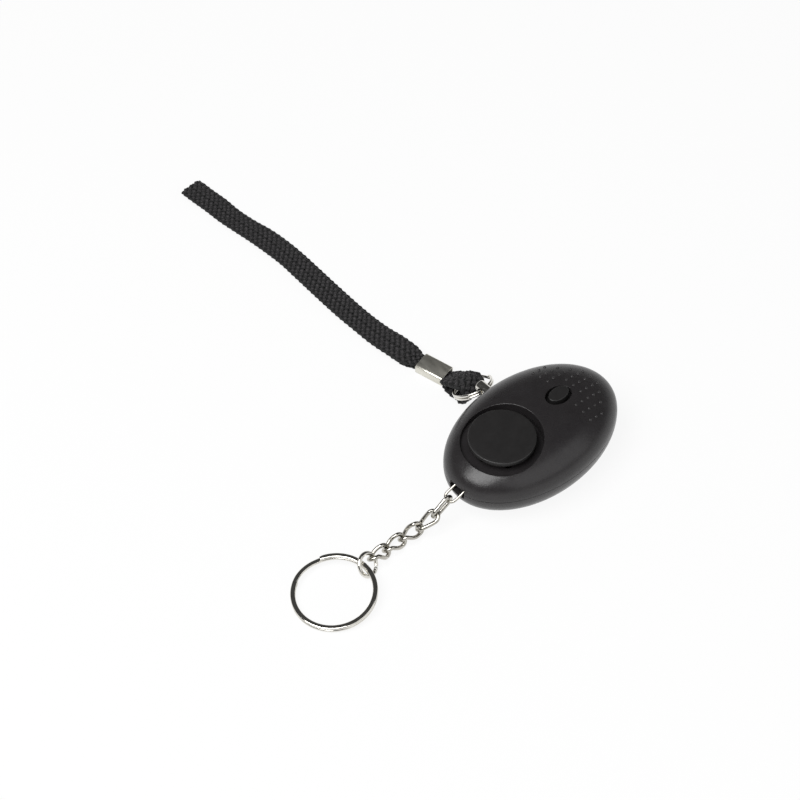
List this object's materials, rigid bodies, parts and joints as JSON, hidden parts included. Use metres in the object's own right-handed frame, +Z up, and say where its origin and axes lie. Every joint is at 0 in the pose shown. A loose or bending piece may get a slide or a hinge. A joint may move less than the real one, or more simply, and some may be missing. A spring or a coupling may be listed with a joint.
{
  "type": "personal safety alarm",
  "caption": "Oval pocket alarm with a siren recess, light button and pull pin on a braided wrist strap, with a curb chain and split key ring.",
  "frame": {"origin": "middle of the case's flat base, on the surface that it lies on", "axes": "+X towards the dotted grip end, away from the key chain; +Y towards the pull pin and strap; +Z up"},
  "size_m": [0.1173, 0.1733, 0.0225],
  "materials": {
    "case_plastic": "fine satin moulding",
    "black_plastic": "moulded",
    "pale_plastic": "moulded",
    "brass": "rolled sheet",
    "ceramic": "stands in for silvered ceramic",
    "board": "solder mask on glass laminate",
    "ferrite": "pressed ferrite",
    "copper": "enamelled copper wire",
    "lamp": "clear moulded lens",
    "steel": "plated sheet",
    "nickel": "bright nickel plate",
    "strap_cord": "flat braid"
  },
  "bodies": {
    "case": {"top_shell": "case_plastic", "bottom_shell": "case_plastic", "siren_cap": "case_plastic", "sounder_ring": "black_plastic", "piezo_plate": "brass", "piezo_ceramic": "ceramic", "circuit_board": "board", "boost_coil": "ferrite", "coil_winding": "copper", "driver_chip": "black_plastic", "switch_body": "black_plastic", "cell_1": "steel", "cell_2": "steel", "cell_3": "steel", "contact_plus": "steel", "contact_minus": "steel", "pin_socket": "pale_plastic", "contact_leaf": "brass", "contact_stop": "brass", "torch_lamp": "lamp", "case_screws": "steel"},
    "button": {"light_button": "case_plastic", "switch_plunger": "pale_plastic"},
    "pin": {"pull_pin": "nickel"},
    "ring": {"pin_ring": "nickel"},
    "strap": {"wrist_strap": "strap_cord", "strap_crimp": "steel"},
    "bail": {"chain_bail": "nickel"},
    "link_1": {"chain_link_1": "nickel"},
    "link_2": {"chain_link_2": "nickel"},
    "link_3": {"chain_link_3": "nickel"},
    "link_4": {"chain_link_4": "nickel"},
    "link_5": {"chain_link_5": "nickel"},
    "jump": {"jump_ring": "nickel"},
    "key": {"key_ring": "nickel"}
  },
  "joints": [
    {"name": "button_press", "type": "slide", "parent": "case", "child": "button", "axis": [0, 0, -1], "range_m": [0, 0.0004], "stiffness_N_per_m": 2000},
    {"name": "pin_pull", "type": "slide", "parent": "case", "child": "pin", "axis": [0, 1, 0], "range_m": [0, 0.016]},
    {"name": "ring_swing", "type": "hinge", "parent": "pin", "child": "ring", "pos_m": [0.0018, 0.0216, 0.012], "axis": [1, 0, 0], "range_deg": [-50, 100]},
    {"name": "strap_swing", "type": "hinge", "parent": "ring", "child": "strap", "pos_m": [0.0018, 0.031, 0.0055], "axis": [1, 0, 0], "range_deg": [-50, 50]},
    {"name": "bail_lift", "type": "hinge", "parent": "case", "child": "bail", "pos_m": [-0.0273, 0, 0.012], "axis": [0.1045, 0.9945, 0], "range_deg": [0, 40]},
    {"name": "link_1_swing", "type": "hinge", "parent": "bail", "child": "link_1", "pos_m": [-0.03304, 0.0006, 0.00924], "axis": [0.1045, 0.9945, 0], "range_deg": [-38, 30]},
    {"name": "link_2_swing", "type": "hinge", "parent": "link_1", "child": "link_2", "pos_m": [-0.03807, 0.00078, 0.00573], "axis": [-0.5598, -0.0975, 0.8229], "range_deg": [-25, 25]},
    {"name": "link_3_swing", "type": "hinge", "parent": "link_2", "child": "link_3", "pos_m": [-0.04298, 0.0023, 0.0027], "axis": [0.4796, 0.7657, -0.4286], "range_deg": [-25, 25]},
    {"name": "link_4_swing", "type": "hinge", "parent": "link_3", "child": "link_4", "pos_m": [-0.04882, 0.00332, 0.00176], "axis": [0.2675, 0.6696, -0.6929], "range_deg": [-25, 25]},
    {"name": "link_5_swing", "type": "hinge", "parent": "link_4", "child": "link_5", "pos_m": [-0.0548, 0.0033, 0.00191], "axis": [0.0123, 0.707, -0.7071], "range_deg": [-25, 25]},
    {"name": "jump_swing", "type": "hinge", "parent": "link_5", "child": "jump", "pos_m": [-0.06053, 0.00295, 0.0036], "axis": [-0.2138, 0.6969, -0.6846], "range_deg": [-25, 25]},
    {"name": "key_swing", "type": "hinge", "parent": "jump", "child": "key", "pos_m": [-0.06536, 0.00117, 0.00361], "axis": [-0.1595, 0.581, 0.7981], "range_deg": [-22, 30]}
  ]
}
